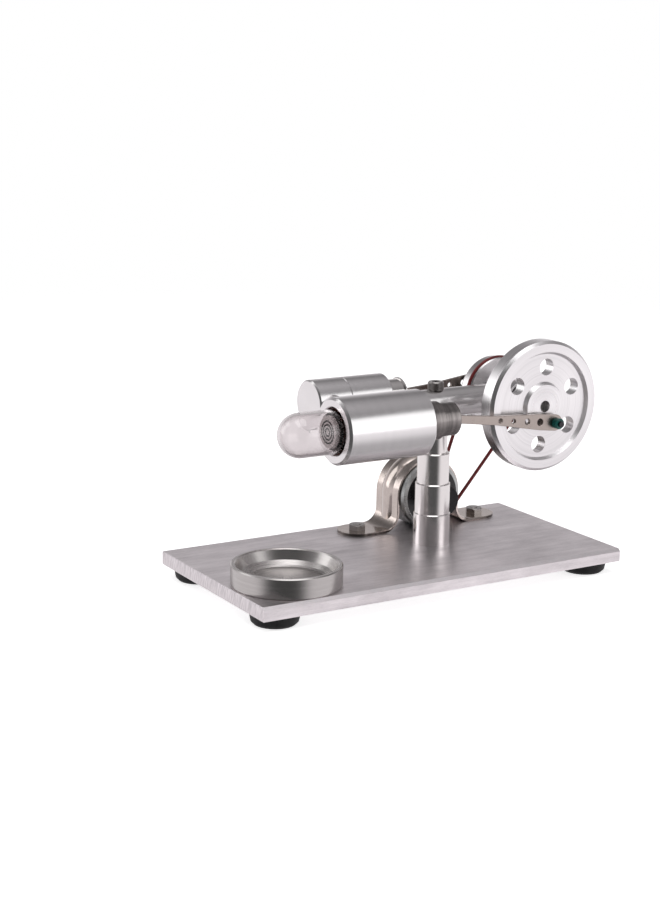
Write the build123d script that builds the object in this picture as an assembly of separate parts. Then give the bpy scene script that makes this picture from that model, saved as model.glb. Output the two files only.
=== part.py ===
"""Desktop Stirling engine with a belt-driven generator, as separate pieces.

X runs along the base towards the flywheel, Y across it away from the hot
cylinder, Z up. Millimetres; the rubber feet stand on Z = 0 and the base plate
is centred on the origin.
"""
from build123d import *
import math
import os

os.makedirs("parts", exist_ok=True)

# ---------------------------------------------------------------- base plate
BASE_L = 140.0
BASE_W = 70.0
BASE_T = 4.5
BASE_FRONT_CHAMFER = 1.0
BASE_EDGE_BREAK = 0.25
FOOT_H = 4.0
BASE_BOTTOM = FOOT_H
BASE_TOP = FOOT_H + BASE_T
FOOT_X = 61.0
FOOT_Y = 26.0
FOOT_TOP_R = 8.2
FOOT_BOTTOM_R = 7.6
FOOT_RECESS_R = 3.3
FOOT_RECESS_H = 2.0
FOOT_SCREW_R = 1.5
FOOT_SCREW_HEAD_R = 2.75
FOOT_SCREW_HEAD_H = 1.6
FOOT_SCREW_DEPTH = 3.3

# ----------------------------------------------------------------- lamp dish
DISH_X = -51.3
DISH_Y = -16.3
DISH_R = 17.9
DISH_H = 6.85
DISH_RIM = 1.5
DISH_FLOOR = 1.9
DISH_FLOOR_R = 12.4
DISH_KNEE_R = 14.6
DISH_KNEE_H = 1.7
DISH_EDGE = 0.35

# ------------------------------------------------------------- axes of motion
AXIS_Z = BASE_TOP + 48.8
AXLE_X = 47.45
AXLE_R = 2.0
CRANK_R = 6.2
NEAR_PIN_ANGLE = -61.3
FAR_PIN_ANGLE = 28.7
ROD_L = 45.0
NEAR_Y = -20.4
FAR_Y = 20.4

# ------------------------------------------------------------- post and beam
POST_X = 16.7
POST_Y = 2.2
POST_STEPS = ((11.0, 6.3), (21.5, 6.0), (32.1, 5.5), (44.2, 4.6))
POST_STEP_BEVEL = 0.35
POST_SCREW_R = 2.0
POST_SCREW_HEAD_R = 3.9
POST_SCREW_HEAD_H = 1.9
POST_SCREW_DEPTH = 9.0
BEAM_R = 5.0
BEAM_FLAT_TOP = 4.7
BEAM_FLAT_BOTTOM = 4.6
BEAM_SPOT_R = 3.3
BEAM_LEFT_SPIGOT_R = 2.0
BEAM_LEFT_SPIGOT_L = 1.6
BEAM_RIGHT_SPIGOT_R = 2.4
BEAM_RIGHT_SPIGOT_L = 1.7
CAP_SCREW_R = 1.5
CAP_SCREW_HEAD_R = 2.75
CAP_SCREW_HEAD_H = 3.0
CAP_SCREW_SOCKET = 2.5
CAP_SCREW_SOCKET_DEPTH = 1.6
CAP_SCREW_DEPTH = 20.0
HOUSING_R = 6.5
HOUSING_Y0 = -6.3
HOUSING_Y1 = 7.0
HOUSING_BORE_R = 3.2

# ------------------------------------------------------------------ bearings
BEARING_OUTER_R = 4.5
BEARING_OUTER_LAND_R = 3.85
BEARING_INNER_LAND_R = 2.67
BEARING_W = 3.0
BALL_R = 0.55
BALL_PITCH_R = 3.27
BALL_COUNT = 8

# ------------------------------------------------------------------ flywheel
WHEEL_R = 22.36
WHEEL_Y0 = -18.62
WHEEL_Y1 = -11.8
WHEEL_RIM_BEVEL = 1.0
WHEEL_RIM_INNER_R = 18.6
WHEEL_WEB_OUTER_R = 17.8
WHEEL_WEB_INNER_R = 8.3
WHEEL_HUB_R = 7.4
WHEEL_RECESS = 1.4
WHEEL_BOSS_R = 6.0
WHEEL_BOSS_END = -6.9
WHEEL_HOLE_R = 2.9
WHEEL_HOLE_PITCH_R = 13.3
WHEEL_HOLE_COUNT = 6
WHEEL_HOLE_ANGLE = 25.4
AXLE_RECESS = 2.4
SET_SCREW_R = 1.5
SET_SCREW_Y = -9.2
PULLEY_SCREW_Y = 15.7
SET_SCREW_SOCKET = 1.5
CRANK_PIN_R = 1.0
CRANK_PIN_DEPTH = 3.0
CRANK_PIN_PROUD = 0.9

# -------------------------------------------------------------- belt pulleys
BELT_Y = 9.0
BELT_R = 0.6
BELT_GROOVE_R = 0.7
PULLEY_BELT_R = 12.6
PULLEY_DRUM_R = 12.5
PULLEY_Y0 = 7.8
PULLEY_Y1 = 13.2
PULLEY_EDGE = 0.4
CRANK_DISC_R = 8.6
CRANK_DISC_Y1 = 18.6
MOTOR_BELT_R = 4.6
MOTOR_PULLEY_R = 5.3
MOTOR_PULLEY_Y0 = 7.4
MOTOR_PULLEY_Y1 = 11.6

# ------------------------------------------------------------ connecting rods
ROD_T = 1.2
ROD_EDGE = 0.12
ROD_GAP = 0.3
ROD_SMALL_R = 1.6
ROD_BIG_R = 2.78
ROD_OUTLINE = ((0.0, 1.3), (20.3, 1.55), (38.6, 2.78), (45.0, 2.78))
ROD_HOLES = ((23.4, 0.80), (17.9, 0.85), (12.1, 1.05), (6.66, 1.20))
ROD_EYE_R = 0.85
WRIST_PIN_R = 0.8
WRIST_PIN_HALF = 3.8
ROD_SLOT_SIDE = 0.2
ROD_SLOT_BACK = 2.2
PIN_END_R = 1.0
PIN_END_PROUD = 0.9
PIN_SLEEVE_R = 1.85
PIN_SLEEVE_L = 2.5

# -------------------------------------------------------------- hot cylinder
SLEEVE_X0 = -37.7
SLEEVE_X1 = -4.9
SLEEVE_R = 10.8
SLEEVE_BEVEL = 0.8
SLEEVE_BORE_R = 7.7
SLEEVE_PARTITION_X0 = -13.0
SLEEVE_PARTITION_X1 = -9.0
GLASS_R = 7.15
GLASS_WALL = 0.9
GLASS_DOME_X = -49.65
GLASS_END_X = -21.5
SEAL_X0 = -35.6
SEAL_X1 = -24.0
DISPLACER_X0 = -39.8
DISPLACER_X1 = -16.6
DISPLACER_R = 5.4
DISPLACER_RING_RADII = (1.2, 2.4, 3.5)
DISPLACER_RING_W = 0.45
DISPLACER_RING_DEPTH = 0.35
DISPLACER_ROD_R = 0.75
ROD_BUSH_R = 2.0
ROD_BUSH_CLEARANCE = 0.05
GUIDE_R = 5.5
GUIDE_BORE_R = 4.3
GUIDE_X1 = 8.1
GUIDE_COLLAR_R = 6.3
GUIDE_COLLAR_X1 = 1.7
GUIDE_BEVEL = 0.35
RUNNING_GAP = 0.04
CROSSHEAD_BACK = 4.85
CROSSHEAD_FRONT = 2.2

# ------------------------------------------------------------ power cylinder
POWER_X0 = -22.5
POWER_X1 = 6.9
POWER_R = 8.17
POWER_BEVEL = 0.5
POWER_GROOVE_X = -9.7
POWER_GROOVE_W = 0.5
POWER_GROOVE_DEPTH = 0.25
POWER_HEAD_X0 = -20.2
POWER_HEAD_X1 = -14.7
POWER_HEAD_R = 4.0
LINER_R = 5.7
LINER_BORE_R = 5.0
LINER_X1 = 14.0
LINER_LIP_R = 6.2
LINER_LIP_W = 0.9
PISTON_BACK = 10.4
PISTON_FRONT = 1.5
PISTON_RINGS = (1.6, 3.2)
PISTON_RING_W = 0.5
PISTON_RING_DEPTH = 0.3

# ---------------------------------------------------------- transfer manifold
MANIFOLD_X = -17.4
MANIFOLD_R = 4.0
MANIFOLD_BORE_R = 1.4
MANIFOLD_SPIGOT_R = 2.2

# ----------------------------------------------------------------- generator
MOTOR_X = 26.4
MOTOR_R = 12.1
MOTOR_Z = BASE_TOP + MOTOR_R
MOTOR_Y0 = 16.3
MOTOR_Y1 = 30.2
MOTOR_WALL = 0.6
MOTOR_SHOULDER = 1.6
MOTOR_CAP_Y1 = 31.8
MOTOR_SHAFT_R = 1.0
MOTOR_BUSH_R = 3.0
MOTOR_BUSH_Y0 = 15.4
MOTOR_MAGNET_R0 = 9.4
MOTOR_MAGNET_Y0 = 19.0
MOTOR_MAGNET_Y1 = 27.0
MOTOR_MAGNET_SWEEP = 130.0
ARMATURE_R = 9.0
ARMATURE_Y0 = 20.0
ARMATURE_Y1 = 26.0
ARMATURE_HUB_R = 2.6
ARMATURE_ARM_W = 2.4
ARMATURE_SHOE_T = 1.4
ARMATURE_SHOE_SWEEP = 96.0
WINDING_T = 1.3
WINDING_INNER_R = 3.2
WINDING_OUTER_R = 6.8
COMMUTATOR_R = 2.2
COMMUTATOR_Y0 = 27.6
COMMUTATOR_Y1 = 29.0
MOTOR_VENT_R = 0.9
MOTOR_VENT_PITCH_R = 7.6
MOTOR_VENT_ANGLE = 40.0
TERMINAL_W = 2.2
TERMINAL_T = 0.4
TERMINAL_L = 2.0
TERMINAL_X = 6.5

# ------------------------------------------------------- generator clamp
CLAMP_Y = 25.5
CLAMP_W = 14.0
CLAMP_T = 0.9
CLAMP_HOLE_X = 25.2
CLAMP_EAR_R = 6.8
CLAMP_BEND_R = 5.2
CLAMP_RIB_W = 7.0
CLAMP_RIB_H = 0.9
CLAMP_RIB_RUN_OUT = 3.2
CLAMP_BOLT_R = 1.5
CLAMP_BOLT_HEAD_R = 2.9
CLAMP_BOLT_HEAD_H = 1.5
CLAMP_NUT_AF = 5.5
CLAMP_NUT_H = 1.8
CLAMP_BOLT_PROUD = 0.2
CLAMP_BOLT_TIP = 0.3
CLAMP_EDGE = 0.15


# -------------------------------------------------------------- shape helpers
def rod_x(radius, x0, x1, y, z):
    """Cylinder along X from x0 to x1."""
    return Pos(x0, y, z) * Rot(0, 90, 0) * Cylinder(
        radius, x1 - x0, align=(Align.CENTER, Align.CENTER, Align.MIN))


def rod_y(radius, y0, y1, x, z):
    """Cylinder along Y from y0 to y1."""
    return Pos(x, y0, z) * Rot(-90, 0, 0) * Cylinder(
        radius, y1 - y0, align=(Align.CENTER, Align.CENTER, Align.MIN))


def rod_z(radius, z0, z1, x, y):
    """Cylinder along Z from z0 to z1."""
    return Pos(x, y, z0) * Cylinder(
        radius, z1 - z0, align=(Align.CENTER, Align.CENTER, Align.MIN))


def block(x0, x1, y0, y1, z0, z1):
    """Box between two corners."""
    return Pos(x0, y0, z0) * Box(x1 - x0, y1 - y0, z1 - z0, align=(Align.MIN,) * 3)


def turned_x(profile, y, z):
    """Solid of revolution about an X axis from (x, radius) points."""
    face = make_face(Polyline(*[(x, 0, r) for x, r in profile], close=True))
    return Pos(0, y, z) * revolve(face, Axis.X, 360)


def turned_y(profile, x, z):
    """Solid of revolution about a Y axis from (y, radius) points."""
    face = make_face(Polyline(*[(r, y, 0) for y, r in profile], close=True))
    return Pos(x, 0, z) * revolve(face, Axis.Y, 360)


def turned_z(profile, x, y):
    """Solid of revolution about a Z axis from (z, radius) points."""
    face = make_face(Polyline(*[(r, 0, z) for z, r in profile], close=True))
    return Pos(x, y, 0) * revolve(face, Axis.Z, 360)


def polar_xz(radius, degrees, x, z):
    """Point at a radius and angle round (x, z), angle from +X towards +Z."""
    a = math.radians(degrees)
    return x + radius * math.cos(a), z + radius * math.sin(a)


def hexagon(across_flats):
    """Hexagon sketch of a nut or socket."""
    return RegularPolygon(across_flats / 2, 6, major_radius=False)


def sector_y(radius, y0, y1, x, z, middle, sweep):
    """Wedge of a disc about a Y axis, used to cut arcs."""
    steps = 12
    start = middle - sweep / 2
    points = [(0.0, 0.0)]
    for i in range(steps + 1):
        points.append(polar_xz(radius, start + sweep * i / steps, 0.0, 0.0))
    face = make_face(Polyline(*[(px, 0, pz) for px, pz in points], close=True))
    return Pos(x, y0, z) * extrude(face, amount=y1 - y0, dir=(0, 1, 0))


def save(shape, name):
    """Write one named piece."""
    shape.label = name
    export_step(shape, f"parts/{name}.step")


# ------------------------------------------------------------ derived places
NEAR_PIN_X, NEAR_PIN_Z = polar_xz(CRANK_R, NEAR_PIN_ANGLE, AXLE_X, AXIS_Z)
FAR_PIN_X, FAR_PIN_Z = polar_xz(CRANK_R, FAR_PIN_ANGLE, AXLE_X, AXIS_Z)
NEAR_WRIST_X = NEAR_PIN_X - math.sqrt(ROD_L ** 2 - (NEAR_PIN_Z - AXIS_Z) ** 2)
FAR_WRIST_X = FAR_PIN_X - math.sqrt(ROD_L ** 2 - (FAR_PIN_Z - AXIS_Z) ** 2)
NEAR_ROD_ANGLE = math.degrees(math.asin((NEAR_PIN_Z - AXIS_Z) / ROD_L))
FAR_ROD_ANGLE = math.degrees(math.asin((FAR_PIN_Z - AXIS_Z) / ROD_L))
NEAR_ROD_Y1 = WHEEL_Y0 - CRANK_PIN_PROUD - ROD_GAP
NEAR_ROD_Y0 = NEAR_ROD_Y1 - ROD_T
FAR_ROD_Y0 = CRANK_DISC_Y1 + CRANK_PIN_PROUD + ROD_GAP
FAR_ROD_Y1 = FAR_ROD_Y0 + ROD_T
FOOT_PLACES = {
    "front_left": (-FOOT_X, -FOOT_Y),
    "front_right": (FOOT_X, -FOOT_Y),
    "rear_left": (-FOOT_X, FOOT_Y),
    "rear_right": (FOOT_X, FOOT_Y),
}
CLAMP_HOLES = ((MOTOR_X - CLAMP_HOLE_X, CLAMP_Y), (MOTOR_X + CLAMP_HOLE_X, CLAMP_Y))


# ---------------------------------------------------------------- base pieces
def base_plate():
    plate = block(-BASE_L / 2, BASE_L / 2, -BASE_W / 2, BASE_W / 2, BASE_BOTTOM, BASE_TOP)
    top_edges = plate.edges().group_by(Axis.Z)[-1]
    front = top_edges.sort_by(Axis.Y)[0]
    plate = chamfer(front, BASE_FRONT_CHAMFER)
    rim = plate.edges().group_by(Axis.Z)[-1].filter_by(Axis.Y)
    rear = plate.edges().group_by(Axis.Z)[-1].filter_by(Axis.X).sort_by(Axis.Y)[-1]
    plate = chamfer(rim + [rear], BASE_EDGE_BREAK)
    for x, y in FOOT_PLACES.values():
        plate -= rod_z(FOOT_SCREW_R, BASE_BOTTOM, BASE_BOTTOM + FOOT_SCREW_DEPTH, x, y)
    plate -= countersunk_screw(POST_X, POST_Y, POST_SCREW_R, POST_SCREW_HEAD_R,
                               POST_SCREW_HEAD_H, BASE_T)
    for x, y in CLAMP_HOLES:
        plate -= countersunk_screw(x, y, CLAMP_BOLT_R, CLAMP_BOLT_HEAD_R,
                                   CLAMP_BOLT_HEAD_H, BASE_T)
    return plate


def countersunk_screw(x, y, shank_r, head_r, head_h, length, tip=0.0):
    """Flat-head screw standing head down in the underside of the base."""
    end = BASE_BOTTOM + length
    profile = [(BASE_BOTTOM, 0), (BASE_BOTTOM, head_r), (BASE_BOTTOM + head_h, shank_r)]
    if tip:
        profile += [(end - tip, shank_r), (end, shank_r - tip), (end, 0)]
    else:
        profile += [(end, shank_r), (end, 0)]
    return turned_z(profile, x, y)


def socket_cut(x, y, z0, z1, across_flats):
    """Hexagon socket between two heights."""
    return Pos(x, y, z0) * extrude(hexagon(across_flats), amount=z1 - z0)


def rubber_foot(x, y):
    bevel = 0.9
    profile = [(0, FOOT_RECESS_R), (0, FOOT_BOTTOM_R - bevel), (bevel, FOOT_BOTTOM_R),
               (FOOT_H - 0.3, FOOT_TOP_R), (FOOT_H, FOOT_TOP_R - 0.3), (FOOT_H, FOOT_SCREW_R),
               (FOOT_RECESS_H, FOOT_SCREW_R), (FOOT_RECESS_H, FOOT_RECESS_R)]
    return turned_z(profile, x, y)


def foot_screw(x, y):
    head_z = FOOT_RECESS_H - FOOT_SCREW_HEAD_H
    profile = [(head_z, 0), (head_z, FOOT_SCREW_HEAD_R - 0.4),
               (head_z + 0.4, FOOT_SCREW_HEAD_R), (FOOT_RECESS_H, FOOT_SCREW_HEAD_R),
               (FOOT_RECESS_H, FOOT_SCREW_R), (BASE_BOTTOM + FOOT_SCREW_DEPTH, FOOT_SCREW_R),
               (BASE_BOTTOM + FOOT_SCREW_DEPTH, 0)]
    slot = block(x - FOOT_SCREW_HEAD_R, x + FOOT_SCREW_HEAD_R, y - 0.35, y + 0.35,
                 head_z, head_z + 0.7)
    return turned_z(profile, x, y) - slot


def lamp_dish():
    r = DISH_R
    inner = DISH_R - DISH_RIM
    top = BASE_TOP + DISH_H
    floor = BASE_TOP + DISH_FLOOR
    e = DISH_EDGE
    profile = [(BASE_TOP, 0), (BASE_TOP, r - e), (BASE_TOP + e, r), (top - e, r), (top, r - e),
               (top, inner + e), (top - e, inner), (floor + DISH_KNEE_H, DISH_KNEE_R),
               (floor + 0.4, DISH_FLOOR_R + 0.7), (floor, DISH_FLOOR_R), (floor, 0)]
    return turned_z(profile, DISH_X, DISH_Y)


# -------------------------------------------------------- post, beam, housing
def support_post():
    z = BASE_TOP
    bevel = POST_STEP_BEVEL
    outer = []
    for height, radius in POST_STEPS:
        top = BASE_TOP + height
        outer += [(z, radius), (top - bevel, radius), (top, radius - bevel)]
        z = top
    profile = [(BASE_TOP, 0)] + outer + [(z, 0)]
    post = turned_z(profile, POST_X, POST_Y)
    post -= rod_z(POST_SCREW_R, BASE_TOP, BASE_TOP + POST_SCREW_DEPTH, POST_X, POST_Y)
    post -= rod_z(CAP_SCREW_R, AXIS_Z + BEAM_FLAT_TOP - CAP_SCREW_DEPTH, z, POST_X, POST_Y)
    return post


def beam():
    left = MANIFOLD_X + MANIFOLD_R
    spigot_x = left - BEAM_LEFT_SPIGOT_L
    bar = rod_x(BEAM_R, MANIFOLD_X, AXLE_X, POST_Y, AXIS_Z)
    bar -= rod_y(MANIFOLD_R, POST_Y - 2 * BEAM_R, POST_Y + 2 * BEAM_R, MANIFOLD_X, AXIS_Z)
    bar -= rod_y(HOUSING_R, HOUSING_Y0, HOUSING_Y1 + 1, AXLE_X, AXIS_Z)
    bar += rod_x(BEAM_LEFT_SPIGOT_R, spigot_x, left + 1, POST_Y, AXIS_Z)
    bar += rod_x(BEAM_RIGHT_SPIGOT_R, AXLE_X - HOUSING_R - 1,
                 AXLE_X - HOUSING_R + BEAM_RIGHT_SPIGOT_L, POST_Y, AXIS_Z)
    bar -= rod_z(BEAM_SPOT_R, AXIS_Z + BEAM_FLAT_TOP, AXIS_Z + BEAM_R + 1, POST_X, POST_Y)
    bar -= rod_z(POST_STEPS[-1][1] + 0.3, AXIS_Z - BEAM_R - 1, AXIS_Z - BEAM_FLAT_BOTTOM,
                 POST_X, POST_Y)
    return bar - rod_z(CAP_SCREW_R, AXIS_Z - BEAM_R, AXIS_Z + BEAM_R, POST_X, POST_Y)


def beam_cap_screw():
    z0 = AXIS_Z + BEAM_FLAT_TOP
    z1 = z0 + CAP_SCREW_HEAD_H
    e = 0.35
    profile = [(z0 - CAP_SCREW_DEPTH, 0), (z0 - CAP_SCREW_DEPTH, CAP_SCREW_R),
               (z0, CAP_SCREW_R), (z0, CAP_SCREW_HEAD_R), (z1 - e, CAP_SCREW_HEAD_R),
               (z1, CAP_SCREW_HEAD_R - e), (z1, 0)]
    screw = turned_z(profile, POST_X, POST_Y)
    return screw - socket_cut(POST_X, POST_Y, z1 - CAP_SCREW_SOCKET_DEPTH, z1 + 1,
                              CAP_SCREW_SOCKET)


def bearing_housing():
    y0 = HOUSING_Y0
    y1 = HOUSING_Y1
    e = 0.4
    profile = [(y0, BEARING_OUTER_R), (y0, HOUSING_R - e), (y0 + e, HOUSING_R),
               (y1 - e, HOUSING_R), (y1, HOUSING_R - e), (y1, BEARING_OUTER_R),
               (y1 - BEARING_W, BEARING_OUTER_R), (y1 - BEARING_W, HOUSING_BORE_R),
               (y0 + BEARING_W, HOUSING_BORE_R), (y0 + BEARING_W, BEARING_OUTER_R)]
    body = turned_y(profile, AXLE_X, AXIS_Z)
    return body - rod_x(BEAM_RIGHT_SPIGOT_R, AXLE_X - HOUSING_R - 1,
                        AXLE_X - HOUSING_R + BEAM_RIGHT_SPIGOT_L, POST_Y, AXIS_Z)


def bearing_rings(y0):
    """Outer and inner ring of one ball bearing."""
    e = 0.15
    y1 = y0 + BEARING_W
    outer = [(y0, BEARING_OUTER_LAND_R), (y0, BEARING_OUTER_R - e), (y0 + e, BEARING_OUTER_R),
             (y1 - e, BEARING_OUTER_R), (y1, BEARING_OUTER_R - e), (y1, BEARING_OUTER_LAND_R)]
    inner = [(y0, AXLE_R), (y0, BEARING_INNER_LAND_R), (y1, BEARING_INNER_LAND_R), (y1, AXLE_R)]
    return turned_y(outer, AXLE_X, AXIS_Z), turned_y(inner, AXLE_X, AXIS_Z)


def bearing_balls():
    balls = []
    for y0 in (HOUSING_Y0, HOUSING_Y1 - BEARING_W):
        for i in range(BALL_COUNT):
            x, z = polar_xz(BALL_PITCH_R, 360.0 * i / BALL_COUNT, AXLE_X, AXIS_Z)
            balls.append(Pos(x, y0 + BEARING_W / 2, z) * Sphere(BALL_R))
    return Compound(children=balls)


# ------------------------------------------------------------- crank assembly
def flywheel():
    y0 = WHEEL_Y0
    y1 = WHEEL_Y1
    b = WHEEL_RIM_BEVEL
    d = WHEEL_RECESS
    profile = [(y0, AXLE_R), (y0, WHEEL_HUB_R), (y0 + d, WHEEL_WEB_INNER_R),
               (y0 + d, WHEEL_WEB_OUTER_R), (y0, WHEEL_RIM_INNER_R), (y0, WHEEL_R - b),
               (y0 + b, WHEEL_R), (y1 - b, WHEEL_R), (y1, WHEEL_R - b),
               (y1, WHEEL_RIM_INNER_R), (y1 - d, WHEEL_WEB_OUTER_R),
               (y1 - d, WHEEL_WEB_INNER_R), (y1, WHEEL_HUB_R), (y1, WHEEL_BOSS_R),
               (WHEEL_BOSS_END - 0.4, WHEEL_BOSS_R), (WHEEL_BOSS_END, WHEEL_BOSS_R - 0.4),
               (WHEEL_BOSS_END, AXLE_R)]
    wheel = turned_y(profile, AXLE_X, AXIS_Z)
    for i in range(WHEEL_HOLE_COUNT):
        angle = WHEEL_HOLE_ANGLE + 360.0 * i / WHEEL_HOLE_COUNT
        x, z = polar_xz(WHEEL_HOLE_PITCH_R, angle, AXLE_X, AXIS_Z)
        wheel -= rod_y(WHEEL_HOLE_R, y0, y1, x, z)
    wheel -= rod_y(CRANK_PIN_R, y0, y0 + CRANK_PIN_DEPTH, NEAR_PIN_X, NEAR_PIN_Z)
    wheel -= rod_z(SET_SCREW_R, AXIS_Z, AXIS_Z + WHEEL_BOSS_R + 1, AXLE_X, SET_SCREW_Y)
    return wheel


def set_screw(y, boss_r):
    """Grub screw standing in a boss and bearing on the axle."""
    z0 = AXIS_Z + AXLE_R
    z1 = AXIS_Z + boss_r - 0.5
    screw = rod_z(SET_SCREW_R, z0, z1, AXLE_X, y)
    return screw - socket_cut(AXLE_X, y, z1 - 1.4, z1 + 1, SET_SCREW_SOCKET)


def crank_axle():
    y0 = WHEEL_Y0 + AXLE_RECESS
    y1 = CRANK_DISC_Y1 - 0.5
    e = 0.25
    profile = [(y0, 0), (y0, AXLE_R - e), (y0 + e, AXLE_R), (y1 - e, AXLE_R),
               (y1, AXLE_R - e), (y1, 0)]
    return turned_y(profile, AXLE_X, AXIS_Z)


def belt_groove(x, z, belt_r, y=BELT_Y):
    """Ring of round section that cuts a belt groove."""
    section = Plane(origin=(belt_r, y, 0), z_dir=(0, 0, 1)) * Circle(BELT_GROOVE_R)
    return Pos(x, 0, z) * revolve(section, Axis.Y, 360)


def belt_pulley():
    e = PULLEY_EDGE
    profile = [(PULLEY_Y0, AXLE_R), (PULLEY_Y0, PULLEY_DRUM_R - e),
               (PULLEY_Y0 + e, PULLEY_DRUM_R), (PULLEY_Y1 - e, PULLEY_DRUM_R),
               (PULLEY_Y1, PULLEY_DRUM_R - e), (PULLEY_Y1, CRANK_DISC_R),
               (CRANK_DISC_Y1 - e, CRANK_DISC_R), (CRANK_DISC_Y1, CRANK_DISC_R - e),
               (CRANK_DISC_Y1, AXLE_R)]
    pulley = turned_y(profile, AXLE_X, AXIS_Z)
    pulley -= belt_groove(AXLE_X, AXIS_Z, PULLEY_BELT_R)
    pulley -= rod_z(SET_SCREW_R, AXIS_Z, AXIS_Z + CRANK_DISC_R + 1, AXLE_X, PULLEY_SCREW_Y)
    pulley -= rod_y(CRANK_PIN_R, CRANK_DISC_Y1 - CRANK_PIN_DEPTH, CRANK_DISC_Y1,
                    FAR_PIN_X, FAR_PIN_Z)
    return pulley


def near_crank_pin():
    return rod_y(CRANK_PIN_R, WHEEL_Y0 - CRANK_PIN_PROUD, WHEEL_Y0 + CRANK_PIN_DEPTH,
                 NEAR_PIN_X, NEAR_PIN_Z)


def far_crank_pin():
    return rod_y(CRANK_PIN_R, CRANK_DISC_Y1 - CRANK_PIN_DEPTH,
                 CRANK_DISC_Y1 + CRANK_PIN_PROUD, FAR_PIN_X, FAR_PIN_Z)


# ------------------------------------------------------------ connecting rods
def con_rod(y0, wrist_x, angle):
    """Flat tapered rod from its wrist pin to its crank pin."""
    upper = [(u, 0, v) for u, v in ROD_OUTLINE]
    lower = [(u, 0, -v) for u, v in reversed(ROD_OUTLINE)]
    blank = extrude(make_face(Polyline(*(upper + lower), close=True)), amount=ROD_T,
                    dir=(0, 1, 0))
    blank += rod_y(ROD_SMALL_R, 0, ROD_T, 0, 0)
    blank += rod_y(ROD_BIG_R, 0, ROD_T, ROD_L, 0)
    blank -= rod_y(ROD_EYE_R, 0, ROD_T, 0, 0)
    blank -= rod_y(PIN_END_R, 0, ROD_T, ROD_L, 0)
    for distance, radius in ROD_HOLES:
        blank -= rod_y(radius, 0, ROD_T, ROD_L - distance, 0)
    faces = blank.edges().group_by(Axis.Y)
    blank = chamfer(faces[0] + faces[-1], ROD_EDGE)
    return Pos(wrist_x, y0, AXIS_Z) * Rot(0, -angle, 0) * blank


def pin_end(x, z, y0, y1):
    """Outer end of the crank pin, carried in the rod eye."""
    low = min(y0, y1)
    high = max(y0, y1)
    return rod_y(PIN_END_R, low, high, x, z)


def pin_sleeve(x, z, y0):
    """Soft sleeve pushed on the pin's end to keep the rod in place."""
    e = 0.3
    y1 = y0 + PIN_SLEEVE_L
    profile = [(y0, PIN_END_R), (y0, PIN_SLEEVE_R - e), (y0 + e, PIN_SLEEVE_R),
               (y1 - e, PIN_SLEEVE_R), (y1, PIN_SLEEVE_R - e), (y1, PIN_END_R)]
    return turned_y(profile, x, z)


def wrist_pin(wrist_x, y):
    return rod_y(WRIST_PIN_R, y - WRIST_PIN_HALF, y + WRIST_PIN_HALF, wrist_x, AXIS_Z)


def rod_slot(wrist_x, y0, y1):
    """Slot that the small end of a rod swings in."""
    tall = LINER_R
    return block(wrist_x - ROD_SLOT_BACK, wrist_x + 2 * LINER_R, y0 - ROD_SLOT_SIDE,
                 y1 + ROD_SLOT_SIDE, AXIS_Z - tall, AXIS_Z + tall)


# --------------------------------------------------------------- hot cylinder
def hot_sleeve():
    b = SLEEVE_BEVEL
    profile = [(SLEEVE_X0, SLEEVE_BORE_R + 0.3), (SLEEVE_X0, SLEEVE_R - b),
               (SLEEVE_X0 + b, SLEEVE_R), (SLEEVE_X1 - b, SLEEVE_R), (SLEEVE_X1, SLEEVE_R - b),
               (SLEEVE_X1, GUIDE_R), (SLEEVE_PARTITION_X1, GUIDE_R),
               (SLEEVE_PARTITION_X1, ROD_BUSH_R), (SLEEVE_PARTITION_X0, ROD_BUSH_R),
               (SLEEVE_PARTITION_X0, SLEEVE_BORE_R), (SLEEVE_X0 + 0.3, SLEEVE_BORE_R)]
    body = turned_x(profile, NEAR_Y, AXIS_Z)
    return body - rod_y(MANIFOLD_SPIGOT_R, NEAR_Y, NEAR_Y + SLEEVE_R, MANIFOLD_X, AXIS_Z)


def glass_tube():
    outer = rod_x(GLASS_R, GLASS_DOME_X, GLASS_END_X, NEAR_Y, AXIS_Z)
    outer += Pos(GLASS_DOME_X, NEAR_Y, AXIS_Z) * Sphere(GLASS_R)
    bore_r = GLASS_R - GLASS_WALL
    bore = rod_x(bore_r, GLASS_DOME_X, GLASS_END_X + 1, NEAR_Y, AXIS_Z)
    bore += Pos(GLASS_DOME_X, NEAR_Y, AXIS_Z) * Sphere(bore_r)
    return outer - bore


def seal_ring():
    profile = [(SEAL_X0, GLASS_R), (SEAL_X0, SLEEVE_BORE_R), (SEAL_X1, SLEEVE_BORE_R),
               (SEAL_X1, GLASS_R)]
    return turned_x(profile, NEAR_Y, AXIS_Z)


def displacer():
    e = 0.4
    profile = [(DISPLACER_X0, 0), (DISPLACER_X0, DISPLACER_R - e),
               (DISPLACER_X0 + e, DISPLACER_R), (DISPLACER_X1 - e, DISPLACER_R),
               (DISPLACER_X1, DISPLACER_R - e), (DISPLACER_X1, 0)]
    body = turned_x(profile, NEAR_Y, AXIS_Z)
    for radius in DISPLACER_RING_RADII:
        half = DISPLACER_RING_W / 2
        depth = DISPLACER_X0 + DISPLACER_RING_DEPTH
        body -= turned_x([(DISPLACER_X0 - 1, radius - half), (DISPLACER_X0 - 1, radius + half),
                          (depth, radius + half), (depth, radius - half)], NEAR_Y, AXIS_Z)
    return body - rod_x(DISPLACER_ROD_R, DISPLACER_X1 - 4, DISPLACER_X1 + 1, NEAR_Y, AXIS_Z)


def displacer_rod():
    return rod_x(DISPLACER_ROD_R, DISPLACER_X1 - 4, NEAR_WRIST_X - CROSSHEAD_BACK + 2,
                 NEAR_Y, AXIS_Z)


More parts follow.
